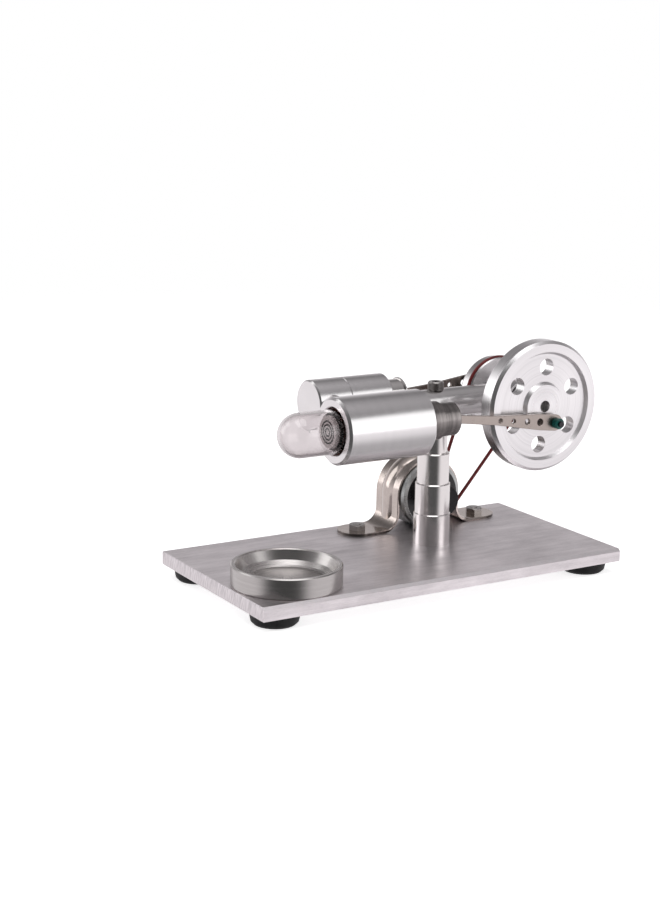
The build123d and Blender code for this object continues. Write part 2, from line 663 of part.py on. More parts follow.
def displacer_rod_bush():
    inner = DISPLACER_ROD_R + ROD_BUSH_CLEARANCE
    x0 = SLEEVE_PARTITION_X0
    x1 = SLEEVE_PARTITION_X1
    profile = [(x0, inner), (x0, ROD_BUSH_R), (x1, ROD_BUSH_R), (x1, inner)]
    return turned_x(profile, NEAR_Y, AXIS_Z)


def guide_tube():
    e = GUIDE_BEVEL
    profile = [(SLEEVE_PARTITION_X1, GUIDE_BORE_R), (SLEEVE_PARTITION_X1, GUIDE_R),
               (SLEEVE_X1, GUIDE_R), (SLEEVE_X1, GUIDE_COLLAR_R),
               (GUIDE_COLLAR_X1 - e, GUIDE_COLLAR_R), (GUIDE_COLLAR_X1, GUIDE_COLLAR_R - e),
               (GUIDE_COLLAR_X1, GUIDE_R), (GUIDE_X1 - e, GUIDE_R), (GUIDE_X1, GUIDE_R - e),
               (GUIDE_X1, GUIDE_BORE_R)]
    return turned_x(profile, NEAR_Y, AXIS_Z)


def crosshead():
    x0 = NEAR_WRIST_X - CROSSHEAD_BACK
    x1 = NEAR_WRIST_X + CROSSHEAD_FRONT
    body = rod_x(GUIDE_BORE_R - RUNNING_GAP, x0, x1, NEAR_Y, AXIS_Z)
    body -= rod_slot(NEAR_WRIST_X, NEAR_ROD_Y0, NEAR_ROD_Y1)
    body -= wrist_pin(NEAR_WRIST_X, NEAR_Y)
    return body - rod_x(DISPLACER_ROD_R, x0 - 1, x0 + 2, NEAR_Y, AXIS_Z)


# ------------------------------------------------------------- power cylinder
def power_cylinder():
    b = POWER_BEVEL
    g = POWER_GROOVE_W / 2
    bottom = POWER_R - POWER_GROOVE_DEPTH
    profile = [(POWER_X0, 0), (POWER_X0, POWER_R - b), (POWER_X0 + b, POWER_R),
               (POWER_GROOVE_X - g, POWER_R), (POWER_GROOVE_X - g, bottom),
               (POWER_GROOVE_X + g, bottom), (POWER_GROOVE_X + g, POWER_R),
               (POWER_X1 - b, POWER_R), (POWER_X1, POWER_R - b), (POWER_X1, LINER_R),
               (POWER_HEAD_X1, LINER_R), (POWER_HEAD_X1, POWER_HEAD_R),
               (POWER_HEAD_X0, POWER_HEAD_R), (POWER_HEAD_X0, 0)]
    body = turned_x(profile, FAR_Y, AXIS_Z)
    return body - rod_y(MANIFOLD_SPIGOT_R, FAR_Y - POWER_R, FAR_Y, MANIFOLD_X, AXIS_Z)


def power_liner():
    e = 0.25
    lip = LINER_X1 - LINER_LIP_W
    profile = [(POWER_HEAD_X1, LINER_BORE_R), (POWER_HEAD_X1, LINER_R), (lip, LINER_R),
               (lip, LINER_LIP_R - e), (lip + e, LINER_LIP_R), (LINER_X1 - e, LINER_LIP_R),
               (LINER_X1, LINER_LIP_R - e), (LINER_X1, LINER_BORE_R + e),
               (LINER_X1 - e, LINER_BORE_R)]
    return turned_x(profile, FAR_Y, AXIS_Z)


def power_piston():
    x0 = FAR_WRIST_X - PISTON_BACK
    x1 = FAR_WRIST_X + PISTON_FRONT
    r = LINER_BORE_R - RUNNING_GAP
    profile = [(x0, 0), (x0, r)]
    for start in PISTON_RINGS:
        s = x0 + start
        profile += [(s, r), (s, r - PISTON_RING_DEPTH),
                    (s + PISTON_RING_W, r - PISTON_RING_DEPTH), (s + PISTON_RING_W, r)]
    profile += [(x1, r), (x1, 0)]
    body = turned_x(profile, FAR_Y, AXIS_Z)
    body -= rod_slot(FAR_WRIST_X, FAR_ROD_Y0, FAR_ROD_Y1)
    return body - wrist_pin(FAR_WRIST_X, FAR_Y)


# ------------------------------------------------------------------- manifold
def transfer_manifold():
    """Cross tube that carries the beam and passes gas between the cylinders."""
    left = MANIFOLD_X - SLEEVE_R
    right = MANIFOLD_X + SLEEVE_R
    body = rod_y(MANIFOLD_R, NEAR_Y, FAR_Y, MANIFOLD_X, AXIS_Z)
    body -= rod_x(SLEEVE_R, left, right, NEAR_Y, AXIS_Z)
    body -= rod_x(POWER_R, left, right, FAR_Y, AXIS_Z)
    spigot_y0 = NEAR_Y + SLEEVE_BORE_R + 0.3
    spigot_y1 = FAR_Y - POWER_HEAD_R - 0.3
    body += rod_y(MANIFOLD_SPIGOT_R, spigot_y0, spigot_y1, MANIFOLD_X, AXIS_Z)
    body -= rod_y(MANIFOLD_BORE_R, NEAR_Y, FAR_Y, MANIFOLD_X, AXIS_Z)
    spigot_x = MANIFOLD_X + MANIFOLD_R - BEAM_LEFT_SPIGOT_L
    return body - rod_x(BEAM_LEFT_SPIGOT_R, spigot_x, right, POST_Y, AXIS_Z)


# ------------------------------------------------------------------ generator
def motor_can():
    r = MOTOR_R
    w = MOTOR_WALL
    s = MOTOR_SHOULDER
    corner = s * (1 - math.sqrt(0.5))
    y0 = MOTOR_Y0
    profile = [(y0, MOTOR_BUSH_R), (y0, r - s), (y0 + corner, r - corner), (y0 + s, r),
               (MOTOR_Y1, r), (MOTOR_Y1, r - w), (y0 + s, r - w), (y0 + w, r - s),
               (y0 + w, MOTOR_BUSH_R)]
    body = turned_y(profile, MOTOR_X, MOTOR_Z)
    for angle in (MOTOR_VENT_ANGLE, MOTOR_VENT_ANGLE + 180):
        x, z = polar_xz(MOTOR_VENT_PITCH_R, angle, MOTOR_X, MOTOR_Z)
        body -= rod_y(MOTOR_VENT_R, y0 - 1, y0 + 2, x, z)
    return body


def motor_bush():
    y1 = MOTOR_Y0 + MOTOR_WALL
    inner = MOTOR_SHAFT_R + 0.05
    profile = [(MOTOR_BUSH_Y0, inner), (MOTOR_BUSH_Y0, MOTOR_BUSH_R - 0.3),
               (MOTOR_BUSH_Y0 + 0.3, MOTOR_BUSH_R), (y1, MOTOR_BUSH_R), (y1, inner)]
    return turned_y(profile, MOTOR_X, MOTOR_Z)


def motor_end_cap():
    y0 = MOTOR_Y1 - 1.0
    y1 = MOTOR_CAP_Y1
    inner = MOTOR_R - MOTOR_WALL
    profile = [(y0 + 1.0, MOTOR_SHAFT_R + 0.05), (y0 + 1.0, inner - 1.2), (y0, inner - 1.2),
               (y0, inner), (MOTOR_Y1, inner), (MOTOR_Y1, MOTOR_R - 0.2), (y1 - 0.4, MOTOR_R - 0.2),
               (y1, MOTOR_R - 0.6), (y1, 0), (y1 - 0.6, 0), (y1 - 0.6, MOTOR_SHAFT_R + 0.05)]
    body = turned_y(profile, MOTOR_X, MOTOR_Z)
    for side in (-1, 1):
        x = MOTOR_X + side * TERMINAL_X
        body -= block(x - TERMINAL_W / 2, x + TERMINAL_W / 2, y0 - 1, y1 + 1,
                      MOTOR_Z - TERMINAL_T / 2, MOTOR_Z + TERMINAL_T / 2)
    return body


def motor_terminals():
    tabs = []
    for side in (-1, 1):
        x = MOTOR_X + side * TERMINAL_X
        tab = block(x - TERMINAL_W / 2, x + TERMINAL_W / 2, MOTOR_Y1 + 0.2,
                    MOTOR_CAP_Y1 + TERMINAL_L, MOTOR_Z - TERMINAL_T / 2,
                    MOTOR_Z + TERMINAL_T / 2)
        tab -= rod_z(0.5, MOTOR_Z - 1, MOTOR_Z + 1, x, MOTOR_CAP_Y1 + TERMINAL_L - 0.9)
        tabs.append(tab)
    return Compound(children=tabs)


def motor_magnets():
    magnets = []
    outer = MOTOR_R - MOTOR_WALL
    ring = rod_y(outer, MOTOR_MAGNET_Y0, MOTOR_MAGNET_Y1, MOTOR_X, MOTOR_Z)
    ring -= rod_y(MOTOR_MAGNET_R0, MOTOR_MAGNET_Y0, MOTOR_MAGNET_Y1, MOTOR_X, MOTOR_Z)
    for middle in (0, 180):
        magnets.append(ring & sector_y(2 * outer, MOTOR_MAGNET_Y0, MOTOR_MAGNET_Y1, MOTOR_X,
                                       MOTOR_Z, middle, MOTOR_MAGNET_SWEEP))
    return Compound(children=magnets)


def motor_armature():
    y0 = ARMATURE_Y0
    y1 = ARMATURE_Y1
    rim = rod_y(ARMATURE_R, y0, y1, MOTOR_X, MOTOR_Z)
    rim -= rod_y(ARMATURE_R - ARMATURE_SHOE_T, y0, y1, MOTOR_X, MOTOR_Z)
    core = rod_y(ARMATURE_HUB_R, y0, y1, MOTOR_X, MOTOR_Z)
    for i in range(3):
        angle = 90 + 120 * i
        arm = block(0, ARMATURE_R - ARMATURE_SHOE_T / 2, y0, y1, -ARMATURE_ARM_W / 2,
                    ARMATURE_ARM_W / 2)
        core += Pos(MOTOR_X, 0, MOTOR_Z) * Rot(0, -angle, 0) * arm
        core += rim & sector_y(2 * ARMATURE_R, y0, y1, MOTOR_X, MOTOR_Z, angle,
                               ARMATURE_SHOE_SWEEP)
    return core - rod_y(MOTOR_SHAFT_R, y0, y1, MOTOR_X, MOTOR_Z)


def motor_windings():
    coils = []
    half = ARMATURE_ARM_W / 2
    for i in range(3):
        coil = block(WINDING_INNER_R, WINDING_OUTER_R, ARMATURE_Y0 - WINDING_T,
                     ARMATURE_Y1 + WINDING_T, -half - WINDING_T, half + WINDING_T)
        coil -= block(WINDING_INNER_R - 1, WINDING_OUTER_R + 1, ARMATURE_Y0, ARMATURE_Y1,
                      -half, half)
        coil &= sector_y(2 * ARMATURE_R, 0, 2 * MOTOR_CAP_Y1, 0, 0, 0, 110)
        coils.append(Pos(MOTOR_X, 0, MOTOR_Z) * Rot(0, -90 - 120 * i, 0) * coil)
    return Compound(children=coils)


def motor_commutator():
    body = rod_y(COMMUTATOR_R, COMMUTATOR_Y0, COMMUTATOR_Y1, MOTOR_X, MOTOR_Z)
    return body - rod_y(MOTOR_SHAFT_R, COMMUTATOR_Y0, COMMUTATOR_Y1, MOTOR_X, MOTOR_Z)


def motor_shaft():
    return rod_y(MOTOR_SHAFT_R, MOTOR_PULLEY_Y0 + 0.3, MOTOR_CAP_Y1 - 0.8, MOTOR_X, MOTOR_Z)


def motor_pulley():
    e = 0.3
    y0 = MOTOR_PULLEY_Y0
    y1 = MOTOR_PULLEY_Y1
    profile = [(y0, MOTOR_SHAFT_R), (y0, MOTOR_PULLEY_R - e), (y0 + e, MOTOR_PULLEY_R),
               (y1 - e, MOTOR_PULLEY_R), (y1, MOTOR_PULLEY_R - e), (y1, MOTOR_SHAFT_R)]
    pulley = turned_y(profile, MOTOR_X, MOTOR_Z)
    throat = [(BELT_Y - BELT_GROOVE_R, MOTOR_BELT_R), (BELT_Y - BELT_GROOVE_R - 0.5, 6.0),
              (BELT_Y + BELT_GROOVE_R + 0.5, 6.0), (BELT_Y + BELT_GROOVE_R, MOTOR_BELT_R)]
    pulley -= turned_y(throat, MOTOR_X, MOTOR_Z)
    return pulley - belt_groove(MOTOR_X, MOTOR_Z, MOTOR_BELT_R)


# ----------------------------------------------------------------------- belt
def drive_belt():
    """Round belt run open round the crank pulley and the generator pulley."""
    dx = MOTOR_X - AXLE_X
    dz = MOTOR_Z - AXIS_Z
    span = math.hypot(dx, dz)
    heading = math.degrees(math.atan2(dz, dx))
    lean = math.degrees(math.acos((PULLEY_BELT_R - MOTOR_BELT_R) / span))
    a1 = heading + lean
    a2 = heading - lean
    top1 = polar_xz(PULLEY_BELT_R, a1, AXLE_X, AXIS_Z)
    top2 = polar_xz(PULLEY_BELT_R, a2, AXLE_X, AXIS_Z)
    low1 = polar_xz(MOTOR_BELT_R, a1, MOTOR_X, MOTOR_Z)
    low2 = polar_xz(MOTOR_BELT_R, a2, MOTOR_X, MOTOR_Z)
    crown = polar_xz(PULLEY_BELT_R, heading + 180, AXLE_X, AXIS_Z)
    foot = polar_xz(MOTOR_BELT_R, heading, MOTOR_X, MOTOR_Z)

    def place(point):
        return (point[0], BELT_Y, point[1])

    path = Wire([
        Line(place(low1), place(top1)).edge(),
        ThreePointArc(place(top1), place(crown), place(top2)).edge(),
        Line(place(top2), place(low2)).edge(),
        ThreePointArc(place(low2), place(foot), place(low1)).edge(),
    ])
    start = Plane(origin=path @ 0, z_dir=path % 0)
    return sweep(start * Circle(BELT_R), path=path)


# ---------------------------------------------------------------------- clamp
def clamp_rib():
    """Embossed rib over the strap's arch, round in section, that runs out in its bends."""
    outer = MOTOR_R + CLAMP_T
    half = CLAMP_RIB_W / 2
    seat = outer - 0.05
    arc = ThreePointArc((seat, -half), (outer + CLAMP_RIB_H, 0), (seat, half))
    face = make_face([arc.edge(), Line((seat, half), (seat, -half)).edge()])
    arch = revolve(face, Axis.Y, 360) & block(-2 * outer, 2 * outer, -half, half, 0, 2 * outer)
    bend_top = BASE_TOP + CLAMP_T + CLAMP_BEND_R
    leg = extrude(face, amount=MOTOR_Z - bend_top + CLAMP_RIB_RUN_OUT, dir=(0, 0, -1))
    return Pos(0, 0, MOTOR_Z) * (arch + leg + Rot(0, 0, 180) * leg)


def motor_clamp():
    """Strap of bent sheet: arch, two legs, two bends and two drilled ears."""
    inner = MOTOR_R
    outer = inner + CLAMP_T
    foot = BASE_TOP
    reach = CLAMP_HOLE_X
    half = CLAMP_W / 2
    bend_x = outer + CLAMP_BEND_R
    bend_z = foot + CLAMP_T + CLAMP_BEND_R
    strap = rod_y(outer, -half, half, 0, MOTOR_Z) - rod_y(inner, -half, half, 0, MOTOR_Z)
    strap &= block(-outer, outer, -half, half, MOTOR_Z, MOTOR_Z + outer)
    for side in (-1, 1):
        strap += block(min(side * inner, side * outer), max(side * inner, side * outer),
                       -half, half, bend_z, MOTOR_Z)
        bend = rod_y(CLAMP_BEND_R + CLAMP_T, -half, half, side * bend_x, bend_z)
        bend -= rod_y(CLAMP_BEND_R, -half, half, side * bend_x, bend_z)
        bend &= block(min(side * inner, side * bend_x), max(side * inner, side * bend_x),
                      -half, half, foot, bend_z)
        strap += bend
        strap += block(min(side * bend_x, side * reach), max(side * bend_x, side * reach),
                       -half, half, foot, foot + CLAMP_T)
    sides = strap.edges().group_by(Axis.Y)
    strap = chamfer(sides[0] + sides[-1], CLAMP_EDGE)
    strap += clamp_rib()
    for side in (-1, 1):
        ear = rod_z(half, foot, foot + CLAMP_T, side * reach, 0)
        ear &= block(side * reach - CLAMP_EAR_R, side * reach + CLAMP_EAR_R,
                     -half, half, foot, foot + CLAMP_T)
        strap += ear
        strap -= rod_z(CLAMP_BOLT_R, foot - 1, foot + CLAMP_T + 1, side * reach, 0)
    return Pos(MOTOR_X, CLAMP_Y, 0) * strap


def clamp_bolts():
    length = BASE_T + CLAMP_T + CLAMP_NUT_H + CLAMP_BOLT_PROUD
    bolts = []
    for x, y in CLAMP_HOLES:
        bolt = countersunk_screw(x, y, CLAMP_BOLT_R, CLAMP_BOLT_HEAD_R, CLAMP_BOLT_HEAD_H,
                                 length, CLAMP_BOLT_TIP)
        bolts.append(bolt - socket_cut(x, y, BASE_BOTTOM - 1, BASE_BOTTOM + 1.0, 2.0))
    return Compound(children=bolts)


def clamp_nuts():
    nuts = []
    z0 = BASE_TOP + CLAMP_T
    half = CLAMP_NUT_AF / 2
    for x, y in CLAMP_HOLES:
        nut = Pos(x, y, z0) * extrude(hexagon(CLAMP_NUT_AF), amount=CLAMP_NUT_H)
        nut &= turned_z([(z0, 0), (z0, half + 0.5), (z0 + CLAMP_NUT_H - 0.4, half + 0.5),
                         (z0 + CLAMP_NUT_H, half - 0.05), (z0 + CLAMP_NUT_H, 0)], x, y)
        nuts.append(nut - rod_z(CLAMP_BOLT_R, z0 - 1, z0 + CLAMP_NUT_H + 1, x, y))
    return Compound(children=nuts)


def post_screw():
    screw = countersunk_screw(POST_X, POST_Y, POST_SCREW_R, POST_SCREW_HEAD_R,
                              POST_SCREW_HEAD_H, BASE_T + POST_SCREW_DEPTH)
    return screw - socket_cut(POST_X, POST_Y, BASE_BOTTOM - 1, BASE_BOTTOM + 1.3, 2.5)


# ---------------------------------------------------------------------- write
save(base_plate(), "base_plate")
for place, (foot_x, foot_y) in FOOT_PLACES.items():
    save(rubber_foot(foot_x, foot_y), f"rubber_foot_{place}")
save(Compound(children=[foot_screw(x, y) for x, y in FOOT_PLACES.values()]), "foot_screws")
save(lamp_dish(), "lamp_dish")

save(support_post(), "support_post")
save(post_screw(), "post_screw")
save(beam(), "beam")
save(beam_cap_screw(), "beam_cap_screw")
save(bearing_housing(), "bearing_housing")
for side, ring_y0 in (("near", HOUSING_Y0), ("far", HOUSING_Y1 - BEARING_W)):
    outer_ring, inner_ring = bearing_rings(ring_y0)
    save(outer_ring, f"{side}_bearing_outer_ring")
    save(inner_ring, f"{side}_bearing_inner_ring")
save(bearing_balls(), "bearing_balls")

save(flywheel(), "flywheel")
save(set_screw(SET_SCREW_Y, WHEEL_BOSS_R), "flywheel_set_screw")
save(set_screw(PULLEY_SCREW_Y, CRANK_DISC_R), "pulley_set_screw")
save(crank_axle(), "crank_axle")
save(belt_pulley(), "belt_pulley")
save(near_crank_pin(), "near_crank_pin")
save(far_crank_pin(), "far_crank_pin")

save(con_rod(NEAR_ROD_Y0, NEAR_WRIST_X, NEAR_ROD_ANGLE), "near_con_rod")
save(pin_sleeve(NEAR_PIN_X, NEAR_PIN_Z, NEAR_ROD_Y0 - PIN_SLEEVE_L), "near_pin_sleeve")
save(pin_end(NEAR_PIN_X, NEAR_PIN_Z, NEAR_ROD_Y1, NEAR_ROD_Y0 - PIN_SLEEVE_L - PIN_END_PROUD),
     "near_pin_end")
save(wrist_pin(NEAR_WRIST_X, NEAR_Y), "near_wrist_pin")
save(con_rod(FAR_ROD_Y0, FAR_WRIST_X, FAR_ROD_ANGLE), "far_con_rod")
save(pin_sleeve(FAR_PIN_X, FAR_PIN_Z, FAR_ROD_Y1), "far_pin_sleeve")
save(pin_end(FAR_PIN_X, FAR_PIN_Z, FAR_ROD_Y0, FAR_ROD_Y1 + PIN_SLEEVE_L + PIN_END_PROUD),
     "far_pin_end")
save(wrist_pin(FAR_WRIST_X, FAR_Y), "far_wrist_pin")

save(hot_sleeve(), "hot_cylinder_sleeve")
save(glass_tube(), "glass_tube")
save(seal_ring(), "glass_seal")
save(displacer(), "displacer")
save(displacer_rod(), "displacer_rod")
save(displacer_rod_bush(), "displacer_rod_bush")
save(guide_tube(), "crosshead_guide")
save(crosshead(), "crosshead")

save(power_cylinder(), "power_cylinder")
save(power_liner(), "power_liner")
save(power_piston(), "power_piston")
save(transfer_manifold(), "transfer_manifold")

save(motor_can(), "generator_can")
save(motor_bush(), "generator_bush")
save(motor_end_cap(), "generator_end_cap")
save(motor_terminals(), "generator_terminals")
save(motor_magnets(), "generator_magnets")
save(motor_armature(), "generator_armature")
save(motor_windings(), "generator_windings")
save(motor_commutator(), "generator_commutator")
save(motor_shaft(), "generator_shaft")
save(motor_pulley(), "generator_pulley")
save(drive_belt(), "drive_belt")

save(motor_clamp(), "generator_clamp")
save(clamp_bolts(), "clamp_bolts")
save(clamp_nuts(), "clamp_nuts")
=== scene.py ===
"""Looks of the desktop Stirling engine: camera, studio, materials and fine pieces.

Everything is in metres in the model's own frame: X along the base towards the
flywheel, Y across it towards the power cylinder, Z up from the table.
"""
import math

import bmesh
import bpy
from mathutils import Matrix, Vector


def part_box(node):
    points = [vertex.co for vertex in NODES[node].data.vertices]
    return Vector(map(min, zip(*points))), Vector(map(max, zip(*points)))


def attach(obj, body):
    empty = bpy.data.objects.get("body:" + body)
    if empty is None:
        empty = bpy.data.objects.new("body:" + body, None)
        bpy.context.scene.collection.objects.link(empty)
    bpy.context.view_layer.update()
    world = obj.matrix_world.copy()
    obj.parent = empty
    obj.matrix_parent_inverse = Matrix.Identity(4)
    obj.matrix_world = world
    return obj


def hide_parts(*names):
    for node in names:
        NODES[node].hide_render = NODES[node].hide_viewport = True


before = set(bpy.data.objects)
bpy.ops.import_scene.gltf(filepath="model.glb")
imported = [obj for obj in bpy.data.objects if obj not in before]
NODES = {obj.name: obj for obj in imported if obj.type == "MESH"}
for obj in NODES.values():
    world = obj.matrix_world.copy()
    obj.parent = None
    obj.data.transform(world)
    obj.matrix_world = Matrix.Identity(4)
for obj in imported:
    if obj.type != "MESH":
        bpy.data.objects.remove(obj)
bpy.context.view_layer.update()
MM = 0.001


# ------------------------------------------------------------------- measures
def middle(node):
    """Centre of a CAD node's box."""
    low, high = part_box(node)
    return (low + high) / 2


AXLE = middle("crank_axle")
HOT_AXIS = middle("hot_cylinder_sleeve")
POWER_AXIS = middle("power_cylinder")
MOTOR_AXIS = middle("generator_can")
POST_AXIS = middle("support_post")
DISH_AXIS = middle("lamp_dish")
BEAM_AXIS = Vector((0, POST_AXIS.y, AXLE.z))

# --------------------------------------------------------------------- camera
CAMERA_PLACE = Vector((-0.3194, -0.4801, 0.1760))
CAMERA_YAW = math.radians(31.42)
CAMERA_PITCH = math.radians(13.01)
CAMERA_ROLL = math.radians(1.05)
CAMERA_LENS = 70.54
CAMERA_SENSOR = 36.0
CAMERA_NEAREST = 0.01
CAMERA_FURTHEST = 50.0


def add_camera():
    data = bpy.data.cameras.new("camera")
    data.sensor_fit = "AUTO"
    data.sensor_width = CAMERA_SENSOR
    data.lens = CAMERA_LENS
    data.clip_start = CAMERA_NEAREST
    data.clip_end = CAMERA_FURTHEST
    camera = bpy.data.objects.new("camera", data)
    bpy.context.scene.collection.objects.link(camera)
    turn = Matrix.Rotation(-CAMERA_YAW, 4, "Z")
    tilt = Matrix.Rotation(math.pi / 2 - CAMERA_PITCH, 4, "X")
    roll = Matrix.Rotation(CAMERA_ROLL, 4, "Z")
    camera.matrix_world = Matrix.Translation(CAMERA_PLACE) @ turn @ tilt @ roll
    bpy.context.scene.camera = camera


# --------------------------------------------------------------------- studio
WHITE = (1.0, 1.0, 1.0, 1.0)
FLOOR_HALF = 1.2
FLOOR_SOLID = 0.25
FLOOR_GONE = 0.6 * FLOOR_HALF
FLOOR_COLOUR = (0.90, 0.90, 0.90, 1.0)
FLOOR_GLOW = 0.72
# height of the direction (-1 straight down, 0 the horizon, 1 straight up) and the level there
WORLD_LEVELS = ((-1.0, 0.45), (-0.6, 0.52), (-0.32, 0.95), (-0.1, 1.0), (0.10, 0.88),
                (0.30, 0.52), (0.60, 0.17), (0.85, 0.40), (1.0, 0.7))
WORLD_TINT = (1.0, 0.965, 0.985)
# dark side of the room: its centre's azimuth, the two angles from there between which it
# fades out, and the two heights between which it fades out upwards
DARK_AZIMUTH = math.radians(236.0)
DARK_FULL = math.radians(24.0)
DARK_END = math.radians(58.0)
DARK_FULL_HEIGHT = 0.75
DARK_END_HEIGHT = 0.95
DARK_COLOUR = (0.09, 0.09, 0.09, 1.0)
# the surround that rays see through glass, and its share of what they see
BEHIND_GLASS = (0.72, 0.69, 0.70, 1.0)
GLASS_CALM = 0.5
LIGHT_TARGET = Vector((0.0, 0.0, 0.045))
# name, azimuth from +X, elevation, distance, width, height, brightness
SOFTBOXES = (
    ("key_right", -54.0, 20.0, 0.95, 0.50, 0.70, 1.15),
    ("fill_left", 136.0, 24.0, 0.95, 0.50, 0.80, 1.40),
    ("top", -100.0, 80.0, 1.10, 0.90, 0.90, 1.5),
)


def add_floor():
    """White paper that thins out into the white surround."""
    mesh = bpy.data.meshes.new("floor")
    s = FLOOR_HALF
    mesh.from_pydata([(-s, -s, 0), (s, -s, 0), (s, s, 0), (-s, s, 0)], [], [(0, 1, 2, 3)])
    floor = bpy.data.objects.new("floor", mesh)
    bpy.context.scene.collection.objects.link(floor)
    floor.visible_glossy = False
    floor.visible_transmission = False
    net = Net("floor_paper")
    net.set(Base_Color=FLOOR_COLOUR, Roughness=0.9, Specular_IOR_Level=0.1)
    net.set(Emission_Color=WHITE, Emission_Strength=FLOOR_GLOW)
    x, y, _ = net.place()
    fade = net.smooth(net.reach(x, y), FLOOR_SOLID / MM, FLOOR_GONE / MM)
    clear = net.node("BsdfTransparent")
    blend = net.node("MixShader")
    net.link(fade, blend.inputs[0])
    net.link(net.shader.outputs[0], blend.inputs[1])
    net.link(clear.outputs[0], blend.inputs[2])
    net.link(blend.outputs[0], net.tree.nodes["Material Output"].inputs["Surface"])
    mesh.materials.append(net.material)


def graded_sky(net, height):
    """Level of the surround at each height of the direction."""
    ramp = net.node("ValToRGB")
    net.link(net.spread(height, 0.0, 1.0, -1.0, 1.0), ramp.inputs[0])
    stops = ramp.color_ramp.elements
    while len(stops) < len(WORLD_LEVELS):
        stops.new(0.5)
    for stop, (position, level) in zip(stops, WORLD_LEVELS):
        stop.position = (position + 1) / 2
        stop.color = tuple(level * share for share in WORLD_TINT) + (1,)
    return ramp.outputs[0]


def dark_side(net, direction, height):
    """1 in the middle of the dark side, fading to 0 sideways and upwards."""
    level_part = net.vector_math("MULTIPLY", direction, (1, 1, 0)).outputs[0]
    unit = net.vector_math("NORMALIZE", level_part).outputs[0]
    centre = (math.cos(DARK_AZIMUTH), math.sin(DARK_AZIMUTH), 0)
    towards = net.vector_math("DOT_PRODUCT", unit, centre).outputs["Value"]
    sideways = net.smooth(towards, math.cos(DARK_END), math.cos(DARK_FULL))
    return net.times(sideways, net.smooth(height, DARK_END_HEIGHT, DARK_FULL_HEIGHT))


def add_world():
    """Studio surround: white to the eye, graded and with a dark side in reflections."""
    world = bpy.data.worlds.new("studio")
    world.use_nodes = True
    bpy.context.scene.world = world
    net = Tree(world.node_tree)
    direction = net.node("TexCoord").outputs["Generated"]
    height = net.split(direction)[2]
    rays = net.node("LightPath").outputs
    seen = net.mix(dark_side(net, direction, height), graded_sky(net, height), DARK_COLOUR)
    seen = net.mix(net.times(rays["Is Transmission Ray"], GLASS_CALM), seen, BEHIND_GLASS)
    seen = net.mix(rays["Is Camera Ray"], seen, WHITE)
    net.link(seen, net.tree.nodes["Background"].inputs["Color"])


def add_softbox(name, azimuth, elevation, distance, width, height, brightness):
    data = bpy.data.lights.new(name, "AREA")
    data.shape = "RECTANGLE"
    data.size = width
    data.size_y = height
    data.energy = brightness * math.pi * width * height
    a = math.radians(azimuth)
    e = math.radians(elevation)
    away = Vector((math.cos(a) * math.cos(e), math.sin(a) * math.cos(e), math.sin(e)))
    light = bpy.data.objects.new(name, data)
    bpy.context.scene.collection.objects.link(light)
    light.location = LIGHT_TARGET + away * distance
    light.rotation_mode = "QUATERNION"
    light.rotation_quaternion = away.to_track_quat("Z", "Y")


def add_studio():
    add_floor()
    add_world()
    for box in SOFTBOXES:
        add_softbox(*box)
    settings = bpy.context.scene.view_settings
    settings.view_transform = "Standard"
    settings.look = "None"


